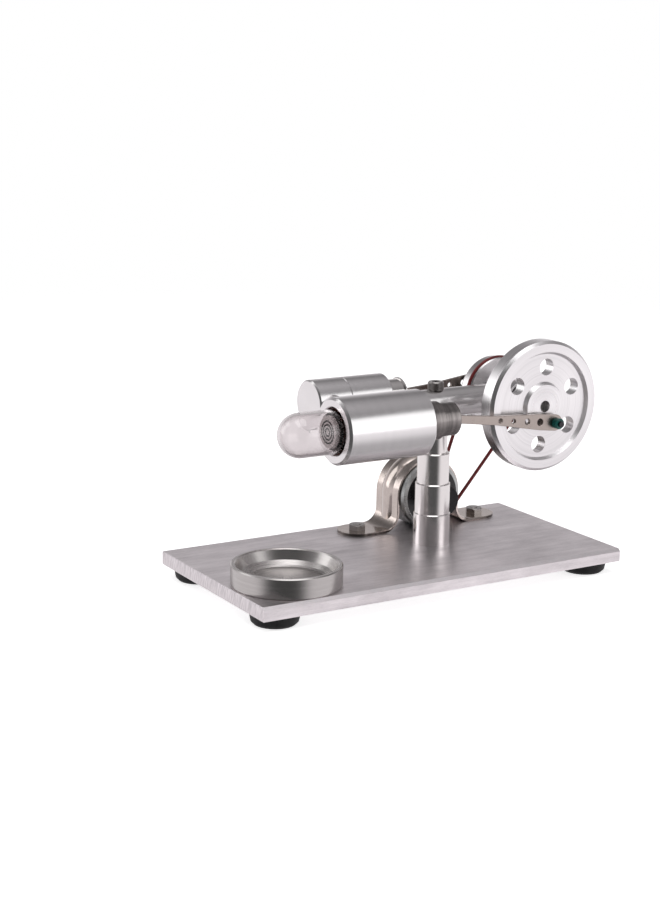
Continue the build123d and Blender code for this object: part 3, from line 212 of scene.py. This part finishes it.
# ------------------------------------------------------------ node shorthands
class Tree:
    """Short calls for building a node tree."""

    def __init__(self, tree):
        self.tree = tree

    def node(self, kind, **settings):
        made = self.tree.nodes.new("ShaderNode" + kind)
        for key, value in settings.items():
            setattr(made, key, value)
        return made

    def link(self, source, target):
        self.tree.links.new(source, target)

    def feed(self, socket, value):
        """Sets a plain value on a socket, or links another node's output to it."""
        if isinstance(value, (int, float, tuple)):
            socket.default_value = value
        else:
            self.link(value, socket)

    def math(self, operation, a, b=0.0):
        made = self.node("Math", operation=operation)
        self.feed(made.inputs[0], a)
        self.feed(made.inputs[1], b)
        return made.outputs[0]

    def times(self, a, b):
        return self.math("MULTIPLY", a, b)

    def plus(self, a, b):
        return self.math("ADD", a, b)

    def both(self, a, b):
        """1 where two tests are both true."""
        return self.times(a, b)

    def reach(self, a, b):
        """Distance from the axis that a and b are measured from."""
        return self.math("SQRT", self.plus(self.times(a, a), self.times(b, b)))

    def weigh(self, *terms):
        """Sum of pairs of a value and its weight."""
        total = self.times(*terms[-1])
        for term in reversed(terms[:-1]):
            total = self.plus(self.times(*term), total)
        return total

    def vector_math(self, operation, a, b=(0, 0, 0)):
        made = self.node("VectorMath", operation=operation)
        self.feed(made.inputs[0], a)
        self.feed(made.inputs[1], b)
        return made

    def vector(self, x, y, z):
        made = self.node("CombineXYZ")
        for socket, value in zip(made.inputs, (x, y, z)):
            self.feed(socket, value)
        return made.outputs[0]

    def split(self, vector):
        made = self.node("SeparateXYZ")
        self.link(vector, made.inputs[0])
        return made.outputs[0], made.outputs[1], made.outputs[2]

    def noise(self, vector, scale=1.0, detail=2.0, roughness=0.5):
        made = self.node("TexNoise")
        self.link(vector, made.inputs["Vector"])
        made.inputs["Scale"].default_value = scale
        made.inputs["Detail"].default_value = detail
        made.inputs["Roughness"].default_value = roughness
        return made.outputs["Fac"]

    def spread(self, value, low, high, from_low=0.3, from_high=0.7, kind="LINEAR"):
        """Maps a value to a range. A noise value lies mostly between 0.3 and 0.7."""
        made = self.node("MapRange", interpolation_type=kind)
        self.link(value, made.inputs["Value"])
        made.inputs["From Min"].default_value = from_low
        made.inputs["From Max"].default_value = from_high
        made.inputs["To Min"].default_value = low
        made.inputs["To Max"].default_value = high
        return made.outputs["Result"]

    def smooth(self, value, start, end):
        """0 at the start and 1 at the end, with a soft step between."""
        return self.spread(value, 0.0, 1.0, start, end, "SMOOTHSTEP")

    def mix(self, factor, a, b):
        made = self.node("Mix", data_type="RGBA")
        self.feed(made.inputs["Factor"], factor)
        self.feed(made.inputs["A"], a)
        self.feed(made.inputs["B"], b)
        return made.outputs["Result"]

    def shades(self, value, colour, darkest, lightest, *limits):
        """A colour that varies with a noise value between two multiples of itself."""
        return self.mix(self.spread(value, 0.0, 1.0, *limits), scaled(colour, darkest),
                        scaled(colour, lightest))


class Net(Tree):
    """One material's node tree and its shader."""

    def __init__(self, name):
        self.material = bpy.data.materials.new(name)
        self.material.use_nodes = True
        super().__init__(self.material.node_tree)
        self.shader = self.tree.nodes["Principled BSDF"]

    def place(self, centre=(0, 0, 0)):
        """Object coordinates in millimetres, measured from a centre in metres."""
        coords = self.node("TexCoord").outputs["Object"]
        shifted = self.vector_math("SUBTRACT", coords, tuple(centre)).outputs[0]
        scale = self.vector_math("SCALE", shifted)
        scale.inputs["Scale"].default_value = 1 / MM
        return self.split(scale.outputs[0])

    def normal(self):
        """Object-space normal split into its three parts."""
        return self.split(self.node("TexCoord").outputs["Normal"])

    def bump(self, height, depth_mm):
        made = self.node("Bump")
        made.inputs["Strength"].default_value = 1.0
        made.inputs["Distance"].default_value = depth_mm * MM
        self.link(height, made.inputs["Height"])
        self.link(made.outputs[0], self.shader.inputs["Normal"])

    def set(self, **values):
        """Feeds shader inputs by name, with _ for a space."""
        for key, value in values.items():
            self.feed(self.shader.inputs[key.replace("_", " ")], value)


def scaled(colour, factor):
    return tuple(c * factor for c in colour[:3]) + (1.0,)


# ------------------------------------------------------------------ materials
# colours
ALUMINIUM = (0.78, 0.765, 0.77, 1.0)
BASE_ALUMINIUM = (0.88, 0.835, 0.855, 1.0)
BEAM_ALUMINIUM = (0.72, 0.705, 0.705, 1.0)
HUB_ALUMINIUM = (0.76, 0.745, 0.75, 1.0)
WHEEL_ALUMINIUM = (0.88, 0.865, 0.875, 1.0)
AXLE_STEEL = (0.62, 0.60, 0.595, 1.0)
CLAMP_STEEL = (0.55, 0.49, 0.455, 1.0)
DISH_STEEL = (0.52, 0.50, 0.49, 1.0)
DISPLACER_STEEL = (0.42, 0.385, 0.38, 1.0)
FASTENER_STEEL = (0.33, 0.315, 0.305, 1.0)
GUIDE_STEEL = (0.25, 0.23, 0.225, 1.0)
LINER_STEEL = (0.74, 0.72, 0.71, 1.0)
PIN_STEEL = (0.06, 0.06, 0.065, 1.0)
POST_STEEL = (0.80, 0.775, 0.765, 1.0)
NEAR_ROD_STEEL = (0.44, 0.385, 0.355, 1.0)
# the far rod is the near rod's steel painted darker: painted shade
FAR_ROD_SHADED_STEEL = (0.24, 0.205, 0.185, 1.0)
SHAFT_STEEL = (0.68, 0.66, 0.65, 1.0)
DULL_ZINC = (0.40, 0.415, 0.41, 1.0)
BRIGHT_ZINC = (0.50, 0.515, 0.51, 1.0)
BRASS = (0.66, 0.45, 0.20, 1.0)
COPPER = (0.62, 0.27, 0.13, 1.0)
IRON = (0.10, 0.10, 0.105, 1.0)
BLACK = (0.012, 0.012, 0.013, 1.0)
PULLEY_BLACK = (0.006, 0.006, 0.007, 1.0)
BELT_RED = (0.16, 0.012, 0.012, 1.0)
SEAL_BROWN = (0.15, 0.055, 0.042, 1.0)
SLEEVE_GREEN = (0.004, 0.075, 0.065, 1.0)
GLASS_CLEAR = (0.95, 0.925, 0.93, 1.0)
# GLASS_EDGE_SHADE: painted shade for the tube's wall where it is seen at a low angle
GLASS_EDGE_SHADE = (0.60, 0.545, 0.55, 1.0)

# sizes that the materials need, in millimetres
# DISPLACER_GROOVES: radii of the rings of painted shade on the displacer's end face
DISPLACER_GROOVES = (1.2, 2.4, 3.5)
GROOVE_HALF = 0.32
DISPLACER_END_DEPTH = 0.5
# CAN_FRONT_R: radius inside which the can's front face is painted black as painted shade
CAN_FRONT_R = 10.4
CAN_FRONT_DEPTH = 0.4
EDGE_MARGIN = 0.02

# share of a face's normal along an axis, past which it counts as facing that way
FACING = 0.7
UPRIGHT = 0.5


def turned_metal(name, colour, axis, centre, roughness, lines=6.0, marks=0.05):
    """Metal cut on a lathe: fine rings round an axis on its sides and its faces."""
    net = Net(name)
    across = list(net.place(centre))
    along = across.pop("XYZ".index(axis))
    angle = net.math("ARCTAN2", *across)
    rings = net.vector(along, net.reach(*across), net.times(angle, 0.02))
    fine = net.noise(rings, lines, 3.0, 0.6)
    broad = net.noise(rings, 0.5, 2.0, 0.5)
    shade = net.weigh((fine, 0.7), (broad, 0.3))
    net.set(Base_Color=net.shades(shade, colour, 1 - marks, 1 + marks * 0.5))
    net.set(Metallic=1.0, Anisotropic=0.5)
    net.set(Roughness=net.spread(broad, roughness * 0.93, roughness * 1.08))
    tangent = net.node("Tangent", direction_type="RADIAL", axis=axis)
    net.set(Tangent=tangent.outputs[0])
    net.bump(fine, 0.0012)
    return net.material


def plain_metal(name, colour, roughness, marks=0.12):
    """Rolled, cast or plated metal with faint mottling and small scuffs."""
    net = Net(name)
    vector = net.vector(*net.place())
    cloud = net.noise(vector, 0.27, 4.0, 0.6)
    fine = net.noise(vector, 4.5, 3.0, 0.6)
    scuffs = net.weigh((cloud, 0.6), (fine, 0.4))
    net.set(Base_Color=net.shades(cloud, colour, 1 - marks, 1 + marks * 0.5))
    net.set(Metallic=1.0)
    net.set(Roughness=net.spread(scuffs, roughness * 0.75, roughness * 1.3))
    net.bump(fine, 0.003)
    return net.material


def brushed_plate(name, colour, roughness):
    """Base plate: brushed along its length, sawn at its two ends."""
    net = Net(name)
    x, y, z = net.place()

    def streaks(along, across, detail=4.0, harshness=0.6):
        stretched = net.vector(net.times(x, along), net.times(y, across), net.times(z, across))
        return net.noise(stretched, 1.0, detail, harshness)

    fine = streaks(0.07, 4.0, 4.0, 0.7)
    wide = streaks(0.035, 0.5)
    cloud = streaks(0.045, 0.10, 5.0, 0.65)
    speck = streaks(0.9, 2.4, 2.0)
    streak = net.weigh((fine, 0.22), (wide, 0.20), (cloud, 0.46), (speck, 0.12))
    streak_limits = (0.38, 0.62)
    slant = net.weigh((y, 1.1), (z, 0.28))
    saw = net.noise(net.vector(slant, 0.0, net.times(z, 0.15)), 1.4, 3.0, 0.65)
    ends = net.math("GREATER_THAN", net.math("ABSOLUTE", net.normal()[0]), FACING)
    top = net.shades(streak, colour, 0.78, 1.10, *streak_limits)
    sawn = net.shades(saw, colour, 0.62, 1.0)
    net.set(Base_Color=net.mix(ends, top, sawn))
    net.set(Metallic=1.0)
    net.set(Roughness=net.spread(streak, roughness * 1.25, roughness * 0.85, *streak_limits))
    height = net.node("Mix", data_type="FLOAT")
    net.link(ends, height.inputs["Factor"])
    net.link(net.times(fine, 0.25), height.inputs["A"])
    net.link(saw, height.inputs["B"])
    net.bump(height.outputs["Result"], 0.03)
    return net.material


def rubber(name, colour, roughness, gloss=0.35):
    """Moulded rubber or plastic with a slightly uneven surface."""
    net = Net(name)
    vector = net.vector(*net.place())
    fine = net.noise(vector, 2.0, 3.0, 0.6)
    cloud = net.noise(vector, 0.3, 2.0, 0.5)
    net.set(Base_Color=net.shades(cloud, colour, 0.75, 1.3))
    net.set(Roughness=net.spread(fine, roughness * 0.85, roughness * 1.2))
    net.set(Specular_IOR_Level=gloss)
    net.bump(fine, 0.012)
    return net.material


def strap_steel(name, colour, roughness, ear_top):
    """Rolled strap, polished on its faces, with painted shadow on the steep edges of its ears
    below the nuts.
    """
    net = Net(name)
    x, y, z = net.place()
    cloud = net.noise(net.vector(x, y, z), 0.22, 4.0, 0.6)
    low = net.math("LESS_THAN", z, ear_top / MM - EDGE_MARGIN)
    steep = net.math("LESS_THAN", net.math("ABSOLUTE", net.normal()[2]), UPRIGHT)
    face = net.shades(cloud, colour, 0.86, 1.08)
    # steep faces below the nuts, the edges of the ears, get painted shadow
    net.set(Base_Color=net.mix(net.both(low, steep), face, scaled(colour, 0.25)))
    net.set(Metallic=1.0)
    net.set(Roughness=net.spread(cloud, roughness * 0.8, roughness * 1.4))
    net.bump(cloud, 0.05)
    return net.material


def displacer_steel(name, colour, centre, end_x):
    """Dark satin steel whose turned end face carries concentric grooves, drawn only as rings
    of painted shade.
    """
    net = Net(name)
    x, y, z = net.place(centre)
    reach = net.reach(y, z)
    end = net.math("LESS_THAN", x, end_x)
    groove_shade = 0.0
    for radius in DISPLACER_GROOVES:
        off = net.math("ABSOLUTE", net.math("SUBTRACT", reach, radius))
        groove_shade = net.math("MAXIMUM", groove_shade, net.math("LESS_THAN", off, GROOVE_HALF))
    shade = net.noise(net.vector(net.times(x, 0.8), y, z), 1.6, 3.0, 0.6)
    body = net.shades(shade, colour, 0.8, 1.15)
    # the grooves are rings of painted shade on the end face
    net.set(Base_Color=net.mix(net.both(end, groove_shade), body, scaled(colour, 0.16)))
    net.set(Metallic=1.0)
    net.set(Roughness=net.spread(shade, 0.2, 0.3))
    net.bump(shade, 0.003)
    return net.material


def generator_can(name, centre, front_y):
    """Zinc-plated can whose front face is painted black inside its rim, as painted shade on
    the can's front.
    """
    net = Net(name)
    x, y, z = net.place(centre)
    front = net.both(net.math("LESS_THAN", y, front_y),
                     net.math("LESS_THAN", net.reach(x, z), CAN_FRONT_R))
    grain = net.noise(net.vector(x, y, z), 1.2, 3.0, 0.6)
    zinc = net.mix(net.spread(grain, 0.0, 1.0), DULL_ZINC, BRIGHT_ZINC)
    # the front face inside the rim is painted black and not metallic: painted shade
    net.set(Base_Color=net.mix(front, zinc, BLACK))
    net.set(Metallic=net.math("SUBTRACT", 1.0, front))
    net.set(Roughness=net.spread(grain, 0.24, 0.36))
    net.bump(grain, 0.004)
    return net.material


def clear_glass(name):
    """Clear tube whose wall gets painted shade where it is seen at a low angle, standing in
    for the dark surround refracted there.
    """
    net = Net(name)
    haze = net.noise(net.vector(*net.place()), 0.2, 3.0, 0.6)
    edge = net.node("LayerWeight")
    edge.inputs["Blend"].default_value = 0.42
    painted_edge_shade = net.spread(edge.outputs["Facing"], 0.0, 1.0, 0.25, 0.95)
    # low-angle parts of the wall are tinted darker: painted shade
    net.set(Base_Color=net.mix(painted_edge_shade, GLASS_CLEAR, GLASS_EDGE_SHADE))
    net.set(Transmission_Weight=1.0, IOR=1.47)
    net.set(Roughness=net.spread(haze, 0.0, 0.015, 0.45, 0.75))
    return net.material


def assign(material, *nodes):
    for name in nodes:
        slots = NODES[name].data.materials
        slots.clear()
        slots.append(material)


def paint_base():
    assign(brushed_plate("base_brushed", BASE_ALUMINIUM, 0.37), "base_plate")
    assign(rubber("foot_rubber", BLACK, 0.6), "rubber_foot_front_left",
           "rubber_foot_front_right", "rubber_foot_rear_left", "rubber_foot_rear_right")
    assign(turned_metal("dish_steel", DISH_STEEL, "Z", DISH_AXIS, 0.26, marks=0.10),
           "lamp_dish")
    assign(turned_metal("post_steel", POST_STEEL, "Z", POST_AXIS, 0.19, marks=0.04),
           "support_post")


def paint_cylinders():
    assign(turned_metal("sleeve_aluminium", ALUMINIUM, "X", HOT_AXIS, 0.22),
           "hot_cylinder_sleeve")
    assign(turned_metal("power_aluminium", ALUMINIUM, "X", POWER_AXIS, 0.22), "power_cylinder")
    assign(turned_metal("beam_aluminium", BEAM_ALUMINIUM, "X", BEAM_AXIS, 0.24), "beam")
    assign(turned_metal("cross_aluminium", BEAM_ALUMINIUM, "Y", middle("transfer_manifold"),
                        0.26), "transfer_manifold")
    assign(turned_metal("guide_steel", GUIDE_STEEL, "X", HOT_AXIS, 0.26, lines=1.2,
                        marks=0.45), "crosshead_guide", "crosshead")
    end_x = (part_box("displacer")[0].x - HOT_AXIS.x) / MM + DISPLACER_END_DEPTH
    assign(displacer_steel("displacer_steel", DISPLACER_STEEL, HOT_AXIS, end_x),
           "displacer", "displacer_rod")
    assign(turned_metal("liner_steel", LINER_STEEL, "X", POWER_AXIS, 0.12),
           "power_liner", "power_piston")
    assign(clear_glass("tube_glass"), "glass_tube")
    assign(rubber("seal_silicone", SEAL_BROWN, 0.45), "glass_seal")


def paint_crank():
    assign(turned_metal("wheel_aluminium", WHEEL_ALUMINIUM, "Y", AXLE, 0.29, lines=3.0,
                        marks=0.14), "flywheel")
    assign(turned_metal("hub_aluminium", HUB_ALUMINIUM, "Y", AXLE, 0.24),
           "belt_pulley", "bearing_housing")
    assign(turned_metal("axle_steel", AXLE_STEEL, "Y", AXLE, 0.2), "crank_axle",
           "near_bearing_outer_ring", "far_bearing_outer_ring", "near_bearing_inner_ring",
           "far_bearing_inner_ring", "bearing_balls", "near_crank_pin", "far_crank_pin")
    assign(plain_metal("near_rod_steel", NEAR_ROD_STEEL, 0.30, marks=0.06), "near_con_rod")
    # the far rod gets the darker copy of the rod steel as painted shade
    assign(plain_metal("far_rod_shaded_steel", FAR_ROD_SHADED_STEEL, 0.33), "far_con_rod")
    assign(rubber("sleeve_green", SLEEVE_GREEN, 0.35, 0.5), "near_pin_sleeve",
           "far_pin_sleeve")
    assign(plain_metal("pin_tip_steel", PIN_STEEL, 0.3), "near_pin_end", "far_pin_end")
    assign(rubber("belt_rubber", BELT_RED, 0.4, 0.45), "drive_belt")


def paint_generator():
    ear_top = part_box("clamp_nuts")[0].z
    assign(strap_steel("clamp_steel", CLAMP_STEEL, 0.15, ear_top), "generator_clamp")
    # the can's front face gets painted shade in black
    front_y = (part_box("generator_can")[0].y - MOTOR_AXIS.y) / MM + CAN_FRONT_DEPTH
    assign(generator_can("can_zinc", MOTOR_AXIS, front_y), "generator_can")
    assign(rubber("pulley_plastic", PULLEY_BLACK, 0.3, 0.25), "generator_pulley",
           "generator_end_cap")
    assign(plain_metal("brass", BRASS, 0.28), "displacer_rod_bush", "generator_bush",
           "generator_terminals")
    assign(plain_metal("copper", COPPER, 0.3), "generator_windings", "generator_commutator")
    assign(plain_metal("iron", IRON, 0.5), "generator_magnets", "generator_armature")
    assign(turned_metal("shaft_steel", SHAFT_STEEL, "Y", MOTOR_AXIS, 0.15),
           "generator_shaft")


def paint_fasteners(material):
    assign(material, "foot_screws", "post_screw", "beam_cap_screw", "flywheel_set_screw",
           "pulley_set_screw", "clamp_bolts", "clamp_nuts", "near_wrist_pin",
           "far_wrist_pin")


# --------------------------------------------------------------- fine pieces
SCREW_HEAD_R = 2.75 * MM
SCREW_HEAD_H = 3.0 * MM
SCREW_SHANK_R = 1.5 * MM
SCREW_SOCKET_HALF = 1.25 * MM
SCREW_SOCKET_DEPTH = 1.6 * MM
SCREW_EDGE = 0.1 * MM
KNURLS = 40
KNURL_STEPS = 4
KNURL_DEPTH = 0.14 * MM


def hexagon_radius(angle, half_flats):
    """Distance from a hexagon's centre to its outline."""
    sector = math.radians(60)
    return half_flats / math.cos((angle % sector) - sector / 2)


def ring_of_points(mesh, centre, z, radii):
    """One closed row of points at a height, each at its own distance from the centre."""
    row = []
    for i, radius in enumerate(radii):
        angle = 2 * math.pi * i / len(radii)
        row.append(mesh.verts.new((centre.x + radius * math.cos(angle),
                                   centre.y + radius * math.sin(angle), z)))
    return row


def knurled_cap_screw(material):
    """Cap screw with a knurled head and a hexagon socket, in place of the plain one."""
    low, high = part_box("beam_cap_screw")
    centre = (low + high) / 2
    top = high.z
    seat = top - SCREW_HEAD_H
    count = KNURLS * KNURL_STEPS

    def circle(radius):
        return [radius] * count

    def socket(grow=0.0):
        return [hexagon_radius(2 * math.pi * i / count, SCREW_SOCKET_HALF) + grow
                for i in range(count)]

    knurl = [SCREW_HEAD_R - (KNURL_DEPTH if i % KNURL_STEPS == 0 else 0)
             for i in range(count)]
    profile = [
        (low.z, circle(SCREW_SHANK_R)),
        (seat, circle(SCREW_SHANK_R)),
        (seat, circle(SCREW_HEAD_R - 2 * KNURL_DEPTH)),
        (seat + SCREW_EDGE, circle(SCREW_HEAD_R - KNURL_DEPTH)),
        (seat + 3 * SCREW_EDGE, knurl),
        (top - 5 * SCREW_EDGE, knurl),
        (top - 3 * SCREW_EDGE, circle(SCREW_HEAD_R - KNURL_DEPTH)),
        (top, circle(SCREW_HEAD_R - 4 * SCREW_EDGE)),
        (top, socket(SCREW_EDGE)),
        (top - SCREW_EDGE, socket()),
        (top - SCREW_SOCKET_DEPTH, socket()),
    ]
    mesh = bmesh.new()
    rows = [ring_of_points(mesh, centre, z, radii) for z, radii in profile]
    for lower, upper in zip(rows, rows[1:]):
        for i in range(count):
            j = (i + 1) % count
            mesh.faces.new((lower[i], lower[j], upper[j], upper[i]))
    mesh.faces.new(list(reversed(rows[0])))
    mesh.faces.new(rows[-1])
    bmesh.ops.recalc_face_normals(mesh, faces=mesh.faces)
    data = bpy.data.meshes.new("knurled_cap_screw")
    mesh.to_mesh(data)
    mesh.free()
    data.materials.append(material)
    screw = bpy.data.objects.new("knurled_cap_screw", data)
    bpy.context.scene.collection.objects.link(screw)
    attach(screw, "frame")
    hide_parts("beam_cap_screw")


# ----------------------------------------------------------------------- make
add_camera()
add_studio()
fastener_steel = plain_metal("fastener_steel", FASTENER_STEEL, 0.3)
paint_base()
paint_cylinders()
paint_crank()
paint_generator()
paint_fasteners(fastener_steel)
knurled_cap_screw(fastener_steel)
